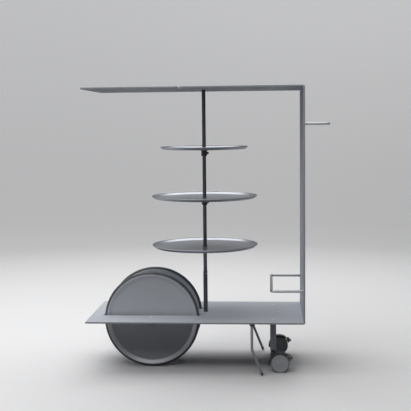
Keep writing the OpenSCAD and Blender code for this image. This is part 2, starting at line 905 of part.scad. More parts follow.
module cheek_outline() {
    difference() {
        union() {
            at_lever() {
                circle(r = lever_eye);
                rotate(-paddle_slope) translate([0, -paddle_thickness / 2])
                    square([lever_eye + 2, paddle_thickness]);
            }
            shoe_outline(lever_angle);
        }
        at_lever() circle(r = brake_pin_radius);
    }
}

// Brake lever: two cheeks on the pin, a shoe across both treads and a foot paddle
module brake_lever(side) {
    cheek_low = lug_half + cheek_gap;
    color("dimgray") at_caster(side) {
        for (y = [-1, 1]) translate([0, y * (cheek_low + cheek_half) / 2, 0])
            caster_plate((cheek_half - cheek_low) / 2) cheek_outline();
        caster_plate(paddle_half) paddle_outline();
        caster_plate(shoe_half) shoe_outline(lever_angle - 9);
    }
}

module brake_pin(side) {
    color("silver") at_caster(side)
        translate([caster_trail + lever_radius * cos(lever_angle), 0,
                   caster_radius + lever_radius * sin(lever_angle)])
            y_rod(2 * cheek_half, brake_pin_radius);
}

// Parking stand: one bent rod that hinges in two saddles under the base
module stand_saddles() {
    outer = stand_radius + running_gap + saddle_wall;
    color("dimgray") for (side = [front, rear]) translate([stand_x, side * saddle_y, 0])
        difference() {
            union() {
                block(2 * outer, saddle_length, hinge_z, under_z);
                intersection() {
                    translate([0, 0, hinge_z]) y_rod(saddle_length, outer);
                    block(2 * outer, saddle_length, hinge_z - outer, hinge_z);
                }
            }
            translate([0, 0, hinge_z]) y_rod(saddle_length + 2, stand_radius + running_gap);
        }
}

module stand_leg(side) {
    translate([stand_x, side * stand_offset, stand_knee]) {
        cylinder(h = hinge_z - stand_corner - stand_knee, r = stand_radius);
        sphere(r = stand_radius + knee_swell);
        rotate([0, -stand_slant, 0]) translate([0, 0, -slant_length + stand_tip])
            cylinder(h = slant_length - stand_tip, r = stand_radius);
    }
}

module parking_stand() {
    color("lightslategray") {
        translate([stand_x, 0, hinge_z])
            y_rod(2 * (stand_offset - stand_corner), stand_radius);
        for (side = [front, rear]) {
            translate([stand_x, side * (stand_offset - stand_corner), hinge_z])
                rotate([-90, 0, side * 90]) rod_turn(stand_corner, stand_radius);
            stand_leg(side);
        }
    }
}

// Rubber feet with rounded ends on the legs
module stand_tips() {
    color("black") for (side = [front, rear])
        translate([stand_x, side * stand_offset, stand_knee]) rotate([0, -stand_slant, 0])
            translate([0, 0, -slant_length]) rotate_extrude() {
                translate([0, tip_round]) square([stand_radius, stand_tip - tip_round]);
                square([stand_radius - tip_round, 2 * tip_round]);
                translate([stand_radius - tip_round, tip_round]) circle(r = tip_round);
            }
}

folded_frame();
axle_blocks();
main_axle();
axle_spacer();
axle_block_screws();
color("silver") wheel_disc(front);  // front_wheel_disc
color("dimgray") wheel_tyre(front);  // front_wheel_tyre
color("silver") wheel_hub(front);  // front_wheel_hub
color("tan") wheel_bush(front);  // front_wheel_bush
color("silver") wheel_rivets(front);  // front_wheel_rivets
color("silver") wheel_disc(rear);  // rear_wheel_disc
color("dimgray") wheel_tyre(rear);  // rear_wheel_tyre
color("silver") wheel_hub(rear);  // rear_wheel_hub
color("tan") wheel_bush(rear);  // rear_wheel_bush
color("silver") wheel_rivets(rear);  // rear_wheel_rivets
lower_pole();
upper_pole();
pole_lock_screw();
pole_end_screws();
tray(top_tray_diameter, tray_level(2));  // top_tray
tray_hub(tray_level(2));  // top_tray_hub
tray_collar(tray_level(2));  // top_tray_collar
tray_knob(tray_level(2));  // top_tray_knob
tray(large_tray_diameter, tray_level(1));  // middle_tray
tray_hub(tray_level(1));  // middle_tray_hub
tray_collar(tray_level(1));  // middle_tray_collar
tray_knob(tray_level(1));  // middle_tray_knob
tray(large_tray_diameter, tray_level(0));  // bottom_tray
tray_hub(tray_level(0));  // bottom_tray_hub
tray_collar(tray_level(0));  // bottom_tray_collar
tray_knob(tray_level(0));  // bottom_tray_knob
bottle_guard();
push_handle();
rail_screws();
caster_leg(front);  // front_caster_leg
caster_leg(rear);  // rear_caster_leg
caster_leg_screws();
caster_hood(front);  // front_caster_hood
caster_stem(front);  // front_caster_stem
caster_wheels(front);  // front_caster_wheels
caster_tyres(front);  // front_caster_tyres
caster_axle(front);  // front_caster_axle
brake_lever(front);  // front_brake_lever
brake_pin(front);  // front_brake_pin
caster_hood(rear);  // rear_caster_hood
caster_stem(rear);  // rear_caster_stem
caster_wheels(rear);  // rear_caster_wheels
caster_tyres(rear);  // rear_caster_tyres
caster_axle(rear);  // rear_caster_axle
brake_lever(rear);  // rear_brake_lever
brake_pin(rear);  // rear_brake_pin
stand_saddles();
parking_stand();
stand_tips();
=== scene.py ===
"""Bar cart: folded sheet, spun trays, turned wheels and bent rods, with finishes and studio.

Pieces are worked out in millimetres and put into Blender in metres."""

import math

import bpy
import numpy as np
from mathutils import Matrix, Vector
from mathutils.geometry import delaunay_2d_cdt


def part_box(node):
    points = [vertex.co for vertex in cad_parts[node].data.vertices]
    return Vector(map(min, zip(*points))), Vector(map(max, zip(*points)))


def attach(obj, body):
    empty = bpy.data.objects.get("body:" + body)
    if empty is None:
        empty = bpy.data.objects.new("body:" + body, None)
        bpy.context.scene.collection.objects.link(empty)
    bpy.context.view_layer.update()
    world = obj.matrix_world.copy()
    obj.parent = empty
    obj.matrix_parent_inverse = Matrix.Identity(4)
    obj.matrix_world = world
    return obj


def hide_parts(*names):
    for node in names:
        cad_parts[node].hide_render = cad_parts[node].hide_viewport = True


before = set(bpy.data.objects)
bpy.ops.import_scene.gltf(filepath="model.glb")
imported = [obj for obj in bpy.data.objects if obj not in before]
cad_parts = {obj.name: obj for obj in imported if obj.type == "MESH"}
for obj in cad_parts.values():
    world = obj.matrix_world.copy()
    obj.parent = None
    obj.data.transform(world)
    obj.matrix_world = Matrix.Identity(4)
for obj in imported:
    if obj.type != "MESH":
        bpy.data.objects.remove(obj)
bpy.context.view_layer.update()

MM = 0.001
FULL_TURN = 2 * math.pi
UP = (0.0, 0.0, 1.0)
SIDES = {"front": -1.0, "rear": 1.0}
# Steps round a turned piece: wheels and trays, middling pieces, pole and rods, screws
WIDE, MIDDLING, SLIM, SMALL = 224, 96, 64, 48
SMOOTH_ANGLE = math.radians(35.0)


def box_mm(node):
    """Lowest and highest corners of a frame node in millimetres."""
    low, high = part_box(node)
    return np.array(low) / MM, np.array(high) / MM


# Places and sizes, read from the frame
sheet_low, sheet_high = box_mm("folded_frame")
LEFT_X, FRONT_Y, UNDER_Z = sheet_low
RIGHT_X, BACK_Y, TOP_Z = sheet_high
SHEET = 6.0
HALF_SHEET = SHEET / 2
FOLD_INNER = 2.0
FOLD_MIDDLE = FOLD_INNER + HALF_SHEET
FOLD_OUTER = FOLD_INNER + SHEET
BASE_Z = UNDER_Z + SHEET
WALL_X = RIGHT_X - SHEET
axle_low, axle_high = box_mm("main_axle")
WHEEL_X, _, AXLE_Z = (axle_low + axle_high) / 2
tyre_low, tyre_high = box_mm("front_wheel_tyre")
WHEEL_OFFSET = -(tyre_low[1] + tyre_high[1]) / 2
TYRE_RADIUS = (tyre_high[0] - tyre_low[0]) / 2
TYRE_HALF = (tyre_high[1] - tyre_low[1]) / 2
disc_low, disc_high = box_mm("front_wheel_disc")
RIM_RADIUS = (disc_high[0] - disc_low[0]) / 2
RIM_HALF = (disc_high[1] - disc_low[1]) / 2
lower_low, lower_high = box_mm("lower_pole")
upper_low, upper_high = box_mm("upper_pole")
POLE_X = (lower_low[0] + lower_high[0]) / 2
LOWER_POLE = (lower_high[0] - lower_low[0]) / 2
UPPER_POLE = (upper_high[0] - upper_low[0]) / 2
guard_low, guard_high = box_mm("bottle_guard")
handle_low, handle_high = box_mm("push_handle")
ROD = (guard_high[2] - guard_low[2]) / 2
ROD_Y = guard_high[1] - ROD
GUARD_Z = (guard_high[2] + guard_low[2]) / 2
HANDLE_Z = (handle_high[2] + handle_low[2]) / 2
stand_low, stand_high = box_mm("parking_stand")
wheels_low, wheels_high = box_mm("front_caster_wheels")
caster_low, caster_high = box_mm("front_caster_tyres")
CASTER_RADIUS = (caster_high[2] - caster_low[2]) / 2
CASTER_Z = (caster_high[2] + caster_low[2]) / 2
CASTER_AXLE_X = (caster_high[0] + caster_low[0]) / 2
CASTER_OFFSET = -(wheels_low[1] + wheels_high[1]) / 2
CASTER_TRAIL = 25.0
SWIVEL_X = CASTER_AXLE_X - CASTER_TRAIL
BLOCK_SCREW_Y = 108.0
LEVELS = {level: box_mm(level + "_tray")[0][2] for level in ("top", "middle", "bottom")}


def hex_to_linear(code):
    """Turns an sRGB hex colour into linear red, green and blue with full alpha."""
    parts = np.array([int(code[i:i + 2], 16) for i in (1, 3, 5)]) / 255.0
    linear = np.where(parts <= 0.04045, parts / 12.92, ((parts + 0.055) / 1.055) ** 2.4)
    return (*linear.tolist(), 1.0)


# Surfaces worked out as whole arrays. A shell is its points and its faces.


def turned_outwards(shell):
    """The same closed shell with its faces turned so that its signed volume is positive."""
    points, faces = shell
    first, second, third, last = (points[[f[i] for f in faces]] for i in (0, 1, 2, -1))
    volume = np.einsum("ij,ij->", first, np.cross(second, third))
    volume += np.einsum("ij,ij->", first, np.cross(third, last))
    return points, faces if volume > 0 else [f[::-1] for f in faces]


def smooth_object(name, points, faces):
    """A smoothly shaded mesh of points in metres, put into the scene."""
    mesh = bpy.data.meshes.new(name)
    mesh.from_pydata(points.tolist(), [], faces)
    mesh.polygons.foreach_set("use_smooth", [True] * len(mesh.polygons))
    made = bpy.data.objects.new(name, mesh)
    bpy.context.scene.collection.objects.link(made)
    return made


def mesh_piece(name, shells, body, node, flat_faces=False):
    """Joins closed shells into one mesh piece that rides on a body and stands for a node."""
    points, faces, start = [], [], 0
    for shell_points, shell_faces in map(turned_outwards, shells):
        points.append(shell_points)
        faces += [tuple(i + start for i in face) for face in shell_faces]
        start += len(shell_points)
    piece = smooth_object(name, np.concatenate(points) * MM, faces)
    piece.data.set_sharp_from_angle(angle=SMOOTH_ANGLE)
    piece.data.update()
    if flat_faces:
        weighted = piece.modifiers.new("even_flat_faces", "WEIGHTED_NORMAL")
        weighted.keep_sharp = True
    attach(piece, body)
    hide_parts(node)


def grid_faces(rows, columns, wrap_rows, wrap_columns, start=0):
    """Four-sided faces between neighbouring points of a grid that is stored row by row."""
    row = np.arange(rows if wrap_rows else rows - 1)
    column = np.arange(columns if wrap_columns else columns - 1)
    row, column = (a.ravel() for a in np.meshgrid(row, column, indexing="ij"))
    here, below = row * columns + start, (row + 1) % rows * columns + start
    after = (column + 1) % columns
    return np.stack([here + column, below + column, below + after, here + after], axis=1).tolist()


def capped(points, rows, columns):
    """Grid of rings closed at its first and last row with a fan about the row's middle."""
    grid = points.reshape(rows, columns, 3)
    ends = np.stack([grid[0].mean(axis=0), grid[-1].mean(axis=0)])
    around = np.arange(columns)
    after = (around + 1) % columns
    first = np.stack([np.full(columns, rows * columns), around, after], axis=1)
    base = (rows - 1) * columns
    final = np.stack([np.full(columns, rows * columns + 1), base + after, base + around], axis=1)
    faces = grid_faces(rows, columns, False, True) + first.tolist() + final.tolist()
    return np.concatenate([points, ends]), faces


def filleted(corners, radii, steps=5, closed=True):
    """Outline through corners, each replaced by a circular arc tangent to its two sides."""
    corners = [np.array(c, dtype=float) for c in corners]
    outline = []
    count = len(corners)
    for i, (corner, radius) in enumerate(zip(corners, radii)):
        if radius <= 0 or (not closed and i in (0, count - 1)):
            outline.append(corner[None])
            continue
        back = corners[i - 1] - corner
        ahead = corners[(i + 1) % count] - corner
        back_length, ahead_length = np.linalg.norm(back), np.linalg.norm(ahead)
        back, ahead = back / back_length, ahead / ahead_length
        half = math.acos(np.clip(back @ ahead, -1, 1)) / 2
        run = min(radius / math.tan(half), 0.49 * back_length, 0.49 * ahead_length)
        centre = corner + (back + ahead) / np.linalg.norm(back + ahead) * run / math.cos(half)
        t = np.linspace(0, 1, steps + 1)[:, None]
        spokes = (corner + back * run - centre) * (1 - t) + (corner + ahead * run - centre) * t
        spokes *= run * math.tan(half) / np.linalg.norm(spokes, axis=1, keepdims=True)
        outline.append(centre + spokes)
    return np.concatenate(outline)


def axes_along(direction):
    """Three unit axes as rows: two square to the direction, then the direction itself."""
    ahead = np.array(direction, dtype=float)
    ahead /= np.linalg.norm(ahead)
    helper = np.array([0.0, 0.0, 1.0]) if abs(ahead[2]) < 0.9 else np.array([1.0, 0.0, 0.0])
    side = np.cross(helper, ahead)
    side /= np.linalg.norm(side)
    return np.stack([side, np.cross(ahead, side), ahead])


def revolved(outline, centre, direction, segments, closed=True, flutes=None, hexagon=None):
    """Surface of revolution: the outline's radius and height turned about a direction.

    With flutes=(count, depth, grip radius) each radius past the grip radius is drawn in by
    depth * (1 + cos(count * angle)) / 2. Rows marked in hexagon lie on a regular hexagon:
    radius / cos(angle to the nearest flat)."""
    radius, height = outline[:, 0], outline[:, 1]
    angle = np.linspace(0, FULL_TURN, segments, endpoint=False)
    reach = np.repeat(radius[:, None], segments, axis=1)
    if flutes:
        count, depth, grip = flutes
        share = np.clip((radius - grip) / depth, 0, 1)[:, None]
        reach = reach - share * depth * (1 + np.cos(count * angle)) / 2
    if hexagon is not None:
        to_flat = np.mod(angle, FULL_TURN / 6) - FULL_TURN / 12
        reach = np.where(np.array(hexagon)[:, None], reach / np.cos(to_flat), reach)
    local = np.stack([
        reach * np.cos(angle), reach * np.sin(angle), np.repeat(height[:, None], segments, axis=1)
    ], axis=-1).reshape(-1, 3)
    points = local @ axes_along(direction) + np.array(centre, dtype=float)
    if closed:
        return points, grid_faces(len(radius), segments, True, True)
    return capped(points, len(radius), segments)


def bent_path(corners, bends, steps):
    """Path through corners in space, each inner corner replaced by an arc of the given radius."""
    corners = [np.array(c, dtype=float) for c in corners]
    path = [corners[0][None]]
    for before, corner, after, bend in zip(corners, corners[1:], corners[2:], bends):
        back = (before - corner) / np.linalg.norm(before - corner)
        ahead = (after - corner) / np.linalg.norm(after - corner)
        half = math.acos(np.clip(back @ ahead, -1, 1)) / 2
        centre = corner + (back + ahead) / np.linalg.norm(back + ahead) * bend / math.sin(half)
        start = corner + back * bend / math.tan(half) - centre
        t = np.linspace(0, math.pi - 2 * half, steps)[:, None]
        path.append(centre + start * np.cos(t) - back * bend * np.sin(t))
    path.append(corners[-1][None])
    return np.concatenate(path)


def swept_rod(path, radius, across):
    """Round rod: circles of one radius square to a path, its ends eased and closed.

    Each circle is radius * (cos a * side + sin a * up), where side is square to the path and to
    a direction that the path never takes, and up is square to both."""
    sides, end_round = 36, 0.6
    ends = [path[1] - path[0], path[-2] - path[-1]]
    first, last = (end / np.linalg.norm(end) * end_round for end in ends)
    path = np.concatenate([path[:1], path[:1] + first, path[1:-1], path[-1:] + last, path[-1:]])
    along = np.gradient(path, axis=0)
    along /= np.linalg.norm(along, axis=1, keepdims=True)
    side = np.cross(np.array(across, dtype=float), along)
    side /= np.linalg.norm(side, axis=1, keepdims=True)
    up = np.cross(along, side)
    angle = np.linspace(0, FULL_TURN, sides, endpoint=False)
    size = np.full(len(path), radius, dtype=float)
    size[0] = size[-1] = radius - end_round
    rings = path[:, None] + size[:, None, None] * (
        np.cos(angle)[None, :, None] * side[:, None] + np.sin(angle)[None, :, None] * up[:, None]
    )
    return capped(rings.reshape(-1, 3), len(path), sides)


def ring(x, y, radius):
    """Points of a circle in a plane, clockwise, for a hole."""
    angle = -np.linspace(0, FULL_TURN, 32, endpoint=False)
    return np.stack([x + radius * np.cos(angle), y + radius * np.sin(angle)], axis=1)


def eased_rows(half, ease):
    """Rows of (height, offset) down a plate's wall, a quarter circle at its two edges."""
    turn = np.linspace(0, math.pi / 2, 3)
    upper = np.stack([half - ease * (1 - np.cos(turn)), -ease * (1 - np.sin(turn))], axis=1)
    return np.concatenate([upper, (upper * [-1, 1])[::-1]])


def inside_loops(points, loops):
    """Whether each point lies inside an odd number of the loops."""
    crossings = np.zeros(len(points), dtype=int)
    for loop in loops:
        start, end = loop, np.roll(loop, -1, axis=0)
        x, y = points[:, :1], points[:, 1:]
        spans = (start[:, 1] > y) != (end[:, 1] > y)
        rise = np.where(end[:, 1] == start[:, 1], 1.0, end[:, 1] - start[:, 1])
        at_x = start[:, 0] + (y - start[:, 1]) * (end[:, 0] - start[:, 0]) / rise
        crossings += (spans & (x < at_x)).sum(axis=1)
    return crossings % 2 == 1


def plate(loops, place, folds=()):
    """Plate with holes, bent or flat: each wall is outline + normal * offset over its rows.

    A loop is an outline, counter-clockwise round the plate and clockwise round a hole, and its
    rows of (height, offset out of the material). The two faces are triangulated between the
    first and last rows. place turns flat length, width and height into a place in space."""
    flat, faces, rims, start = [], [], ([], []), 0
    for outline, rows in loops:
        count = len(outline)
        ahead = np.roll(outline, -1, axis=0) - outline
        ahead /= np.linalg.norm(ahead, axis=1, keepdims=True)
        along = ahead + np.roll(ahead, 1, axis=0)
        along /= np.linalg.norm(along, axis=1, keepdims=True)
        normal = np.stack([along[:, 1], -along[:, 0]], axis=1)
        height, offset = np.array(rows, dtype=float).T
        wall = outline[None] + normal[None] * offset[:, None, None]
        level = np.broadcast_to(height[:, None, None], (len(rows), count, 1))
        flat.append(np.concatenate([wall, level], axis=2).reshape(-1, 3))
        faces += grid_faces(len(rows), count, False, True, start)
        rims[0].append(start + np.arange(count))
        rims[1].append(start + (len(rows) - 1) * count + np.arange(count))
        start += len(rows) * count
    flat = np.concatenate(flat)
    for upper, rim in zip((True, False), rims):
        index = np.concatenate(rim)
        spots = flat[index, :2]
        edges, begin = [], 0
        for loop in rim:
            around = np.arange(len(loop))
            edges += (begin + np.stack([around, np.roll(around, -1)], axis=1)).tolist()
            begin += len(loop)
        for fold in folds:
            on_fold = np.flatnonzero(np.abs(spots[:, 0] - fold) < 1e-6)
            edges.append([int(on_fold[0]), int(on_fold[-1])])
        found = delaunay_2d_cdt([Vector(p) for p in spots], edges, [], 0, 1e-6)
        source = np.array([index[origin[0]] for origin in found[3]])
        triangles = source[np.array(found[2])]
        middles = flat[triangles, :2].mean(axis=1)
        kept = triangles[inside_loops(middles, [flat[loop, :2] for loop in rim])]
        faces += (kept if upper else kept[:, ::-1]).tolist()
    return place(flat[:, 0], flat[:, 1], flat[:, 2]), faces


# Folded frame

BASE_FLAT = RIGHT_X - FOLD_OUTER - LEFT_X
FOLD_LENGTH = FOLD_MIDDLE * math.pi / 2
RISE_FLAT = TOP_Z - UNDER_Z - 2 * FOLD_OUTER
FOLD_1 = BASE_FLAT
RISE_1 = FOLD_1 + FOLD_LENGTH
FOLD_2 = RISE_1 + RISE_FLAT
RISE_2 = FOLD_2 + FOLD_LENGTH
SHEET_LENGTH = RISE_2 + BASE_FLAT
# A place on the upright has this flat length plus its z, one on the top this less its x
ON_RISE = RISE_1 - UNDER_Z - FOLD_OUTER
ON_TOP = RISE_2 + RIGHT_X - FOLD_OUTER


def folded(length, width, height):
    """Carries the flat sheet round its two folds: base, quarter turn, upright, quarter turn, top.

    Height is the distance from the middle of the sheet towards the inside of the folds, so on
    a fold the radius is the middle radius less the height."""
    fold_x = RIGHT_X - FOLD_OUTER
    radius = FOLD_MIDDLE - height
    low_turn = np.clip(length - FOLD_1, 0, FOLD_LENGTH) / FOLD_MIDDLE
    high_turn = np.clip(length - FOLD_2, 0, FOLD_LENGTH) / FOLD_MIDDLE
    x = np.select(
        [length <= FOLD_1, length <= FOLD_2, length <= RISE_2],
        [LEFT_X + length, fold_x + radius * np.sin(low_turn), fold_x + radius * np.cos(high_turn)],
        fold_x - (length - RISE_2),
    )
    z = np.select(
        [length <= RISE_1, length <= FOLD_2],
        [UNDER_Z + FOLD_OUTER - radius * np.cos(low_turn), UNDER_Z + FOLD_OUTER + length - RISE_1],
        TOP_Z - FOLD_OUTER + radius * np.sin(high_turn),
    )
    return np.stack([x, width, z], axis=1)


def flat_blank(folds):
    """Outline of the unfolded sheet with the stem slot that opens in the top's front edge."""
    half, inwards, notch_along, end_along = 5.5, 75.0, 352.0, 92.0
    corner, wide_turn, slot_round, tight_turn = 1.5, 5.5, 5.4, 1.0
    slot_y = FRONT_Y + inwards
    notch = ON_TOP - (LEFT_X + notch_along)
    slot_end = ON_TOP - (LEFT_X + end_along) + half
    front = [(f, FRONT_Y) for f in folds]
    corners = [
        (0, FRONT_Y), *front, (notch - half, FRONT_Y), (notch - half, slot_y + half),
        (slot_end, slot_y + half), (slot_end, slot_y - half), (notch + half, slot_y - half),
        (notch + half, FRONT_Y), (SHEET_LENGTH, FRONT_Y), (SHEET_LENGTH, BACK_Y),
        *[(f, BACK_Y) for f in folds[::-1]], (0, BACK_Y),
    ]
    plain = [0] * len(folds)
    radii = [corner, *plain, corner, wide_turn, slot_round, slot_round, tight_turn, corner,
             corner, corner, *plain, corner]
    return filleted(corners, radii, steps=7)


def sheet_frame():
    """Folded frame with eased edges, its slots and countersunk holes."""
    ease, slot_gap, slot_half, slot_round = 0.7, 4.0, 13.0, 4.0
    head, shank, sink = 5.5, 3.0, 2.5
    seat, seat_depth, seat_foot = LOWER_POLE + 0.05, 2.0, 0.6
    bend_steps = np.linspace(0, FOLD_LENGTH, 10)
    folds = np.concatenate([FOLD_1 + bend_steps, FOLD_2 + bend_steps]).tolist()
    rows = eased_rows(HALF_SHEET, ease)
    loops = [(flat_blank(folds), rows)]
    chord = math.sqrt(AXLE_Z ** 2 - (UNDER_Z - AXLE_Z) ** 2) + slot_gap
    for side in SIDES.values():
        slot = [(WHEEL_X - LEFT_X + a * chord, side * WHEEL_OFFSET + b * slot_half)
                for a, b in ((-1, -1), (-1, 1), (1, 1), (1, -1))]
        loops.append((filleted(slot, [slot_round] * 4, steps=8), rows))
    inner_head = [(HALF_SHEET, shank - head), (HALF_SHEET - sink, 0), (-HALF_SHEET, 0)]
    outer_head = [(-h, offset) for h, offset in inner_head[::-1]]
    pole_hole = [(HALF_SHEET, shank - seat), (HALF_SHEET - seat_depth, shank - seat),
                 (seat_foot, 0), *outer_head[1:]]
    for side in SIDES.values():
        loops += [
            (ring(WHEEL_X - LEFT_X, side * BLOCK_SCREW_Y, shank), inner_head),
            (ring(SWIVEL_X - LEFT_X, side * CASTER_OFFSET, shank), inner_head),
            (ring(ON_RISE + HANDLE_Z, side * ROD_Y, shank), inner_head),
            (ring(ON_RISE + GUARD_Z, side * ROD_Y, shank), outer_head),
        ]
    loops += [(ring(POLE_X - LEFT_X, 0, shank), pole_hole),
              (ring(ON_TOP - POLE_X, 0, shank), outer_head)]
    return plate(loops, folded, folds)


# Wheels. A profile is radius and height along the axle, outwards from the disc's middle.

GROOVE_DEPTH = 3.0
GROOVE_HALF = 6.0
LIP_WIDTH = 15.4
WORN_LIP = 14.0
DISC_HALF = 1.5
DISC_BORE = 13.9
FLANGE_BACK = -5.5


def wheel_rim(centre, outwards):
    """Spun disc: one side's profile is the tyre's groove, a rounded edge, a straight lip that
    slopes in to the flat disc, and the disc itself. It is mirrored and turned. Each row is
    radius, height and the rounding of that corner."""
    edge, edge_fall = 2.6, 0.3
    upper = [
        (RIM_RADIUS - GROOVE_DEPTH, GROOVE_HALF, 0.3), (RIM_RADIUS, GROOVE_HALF, 0.4),
        (RIM_RADIUS, RIM_HALF, 0.9), (RIM_RADIUS - edge, RIM_HALF - edge_fall, 0.8),
        (RIM_RADIUS - LIP_WIDTH, DISC_HALF, 2.5), (DISC_BORE, DISC_HALF, 0.3),
    ]
    rows = upper + [(radius, -height, rounding) for radius, height, rounding in upper[::-1]]
    outline = filleted([row[:2] for row in rows], [row[2] for row in rows])
    return revolved(outline, centre, outwards, WIDE)


def wheel_tyre(centre, outwards):
    """Solid tyre: straight flanks in the rim's groove under a round crown with two fine lines."""
    seat, half = RIM_RADIUS - GROOVE_DEPTH, TYRE_HALF
    line_depth, line_angle, line_width = 0.45, 48, 5.0
    angle = np.radians(np.linspace(-90, 90, 49))
    dip = line_depth * np.exp(-((np.abs(np.degrees(angle)) - line_angle) / line_width) ** 2)
    crown = np.stack([TYRE_RADIUS - half + (half - dip) * np.cos(angle),
                      (half - dip) * np.sin(angle)], axis=1)
    outline = np.concatenate([[(seat, -half)], crown, [(seat, half)]])
    return revolved(outline, centre, outwards, WIDE)


def wheel_hub(centre, outwards):
    """Turned hub: a thin sleeve, the boss in the disc's bore and a filleted, riveted flange."""
    bore, sleeve, flange, inner_end, outer_end = 8.5, 10.0, 32.0, -17.7, 19.7
    corners = [(bore, inner_end), (sleeve, inner_end), (sleeve, FLANGE_BACK),
               (flange, FLANGE_BACK), (flange, -DISC_HALF), (DISC_BORE, -DISC_HALF),
               (DISC_BORE, DISC_HALF), (sleeve, DISC_HALF), (sleeve, outer_end),
               (bore, outer_end)]
    return revolved(filleted(corners, [0.3, 0.5, 3, 1.6, 0.3, 0.2, 0.4, 1.0, 0.5, 0.3]),
                    centre, outwards, MIDDLING)


def rivets(centre, outwards):
    """Four rivets on a circle: an elliptic dome on the flange, a shank and a flush, coned head."""
    core, dome, rise, shank, head, head_edge, circle = 0.05, 3.5, 1.5, 2.0, 3.4, 1.45, 22.0
    angle = np.linspace(math.pi / 2, 0, 8)
    domed = np.stack([dome * np.cos(angle), FLANGE_BACK - rise * np.sin(angle)], axis=1)
    outline = np.concatenate([
        [(core, FLANGE_BACK - rise)], domed[1:],
        [(shank, FLANGE_BACK), (shank, 0.0), (head, head_edge), (core, DISC_HALF)],
    ])
    side, up, _ = axes_along(outwards)
    turns = (0, math.pi / 2, math.pi, 3 * math.pi / 2)
    places = [centre + circle * (math.cos(t) * side + math.sin(t) * up) for t in turns]
    return [revolved(outline, place, outwards, 28, closed=False) for place in places]


# Trays, collars and knobs

TRAY_SHEET = 2.0
TRAY_HOLE = 18.0
SPIGOT = 11.0
KNOB_DROP = 14.3


def spun_tray(radius, level):
    """Spun tray: flat floor, a filleted sloping wall and a rolled bead, turned about the pole."""
    wall, bead, bead_z = 12.0, 1.5, 9.5
    floor = radius - wall
    angle = np.radians(np.linspace(-75, 165, 17))
    roll = np.stack([radius - bead + bead * np.cos(angle), bead_z + bead * np.sin(angle)], axis=1)
    under = filleted([(TRAY_HOLE, 0), (floor + 0.5, 0), (radius - bead - 0.3, bead_z - bead)],
                     [0, 7, 0], steps=8, closed=False)
    over = filleted([(radius - 2 * bead - 0.2, bead_z - 0.5), (floor - 0.6, TRAY_SHEET),
                     (TRAY_HOLE, TRAY_SHEET)], [0, 6, 0], steps=8, closed=False)
    return revolved(np.concatenate([under, roll, over]), (POLE_X, 0, level), UP, WIDE)


def tray_ring(level):
    """Ring pressed into the tray's middle, with a low bevelled lip."""
    bore, lip_foot, lip, lip_z = SPIGOT + 0.05, 14.2, 12.6, 3.5
    corners = [(bore, 0), (TRAY_HOLE, 0), (TRAY_HOLE, TRAY_SHEET), (lip_foot, TRAY_SHEET),
               (lip, lip_z), (bore, lip_z)]
    outline = filleted(corners, [0.3, 0.2, 0.3, 1.2, 0.5, 0.4])
    return revolved(outline, (POLE_X, 0, level), UP, MIDDLING)


def tray_collar(level):
    """Moulded collar: sleeve with a rounded foot, a flared flange and the spigot for the tray."""
    bore, sleeve, flange, flange_z, foot_z, spigot_z = UPPER_POLE + 0.05, 11.0, 26.0, -3, -25, 5
    corners = [(bore, foot_z), (sleeve, foot_z), (sleeve, flange_z - 4), (sleeve + 4, flange_z),
               (flange, flange_z), (flange, 0), (SPIGOT, 0), (SPIGOT, spigot_z),
               (bore, spigot_z)]
    outline = filleted(corners, [0.4, 1.8, 3, 2, 0.8, 0.8, 0.3, 1, 0.4])
    running_gap = 0.3
    return revolved(outline, (POLE_X, 0, level - running_gap), UP, MIDDLING)


def knob(level, start, end):
    """Clamping knob: a shank, then a fluted head with rounded edges and a dished end."""
    shank, head, head_length, dish, dish_depth, core = 2.0, 4.9, 6.0, 3.0, 0.5, 0.3
    face = end - head_length
    corners = [(shank, start), (shank, face), (head, face), (head, end), (dish, end),
               (dish - 0.8, end - dish_depth), (core, end - dish_depth)]
    outline = filleted(corners, [0.4, 0.3, 1.0, 1.3, 0.4, 0.4, 0], closed=False)
    return revolved(outline, (POLE_X, 0, level - KNOB_DROP), (1, 0, 0), MIDDLING, closed=False,
                    flutes=(8, 0.9, 3.4))


# Screws, nuts and rods. A screw's profile is radius and height over the face it sits in.

SCREW_SHANK = 2.9
SOCKET_ROWS = [0, 0, 0, 0, 0, 1, 1, 1]
ROD_BEND = 12.0


def flush_screw(place, direction, length=6.0):
    """Countersunk screw: shank, cone and flat head with a hexagonal socket in its face."""
    head, ease, cone, socket, socket_depth = 5.25, 0.15, 2.6, 1.85, 1.6
    outline = np.array([
        (SCREW_SHANK, -length), (SCREW_SHANK, -cone), (head - ease, -0.35), (head, -ease),
        (head - ease, 0.0), (socket + ease, 0.0), (socket, -0.2), (socket, -socket_depth),
    ])
    return revolved(outline, place, direction, SMALL, closed=False, hexagon=SOCKET_ROWS)


def lock_screw(place, direction):
    """Small cap screw: a rounded head that stands off the tube, with a hexagonal socket."""
    outline = np.array([(2.0, -3.0), (2.9, -1.0), (2.95, 0.9), (2.8, 1.5), (2.4, 1.9), (1.5, 2.0),
                        (1.35, 1.8), (1.35, 0.8)])
    return revolved(outline, place, direction, SMALL, closed=False, hexagon=SOCKET_ROWS)


def hexagon_nut(place, height):
    """Nut below a place: a hexagon between two chamfered ends, closed over the screw's end."""
    flat, chamfer = 4.3, 0.4
    end = flat - chamfer / 2
    outline = np.array([(SCREW_SHANK, -height), (end, -height), (flat, chamfer - height),
                        (flat, -chamfer), (end, 0)])
    return revolved(outline, place, UP, SMALL, closed=False, hexagon=[0, 0, 1, 1, 0])


def pole_tube():
    """Lower pole: the wall between bore and outside, its upper edges eased, turned."""
    bore = UPPER_POLE + 0.02
    corners = [(bore, lower_low[2]), (LOWER_POLE, lower_low[2]), (LOWER_POLE, lower_high[2]),
               (bore, lower_high[2])]
    return revolved(filleted(corners, [0, 0, 0.7, 0.2]), (POLE_X, 0, 0), UP, SLIM)


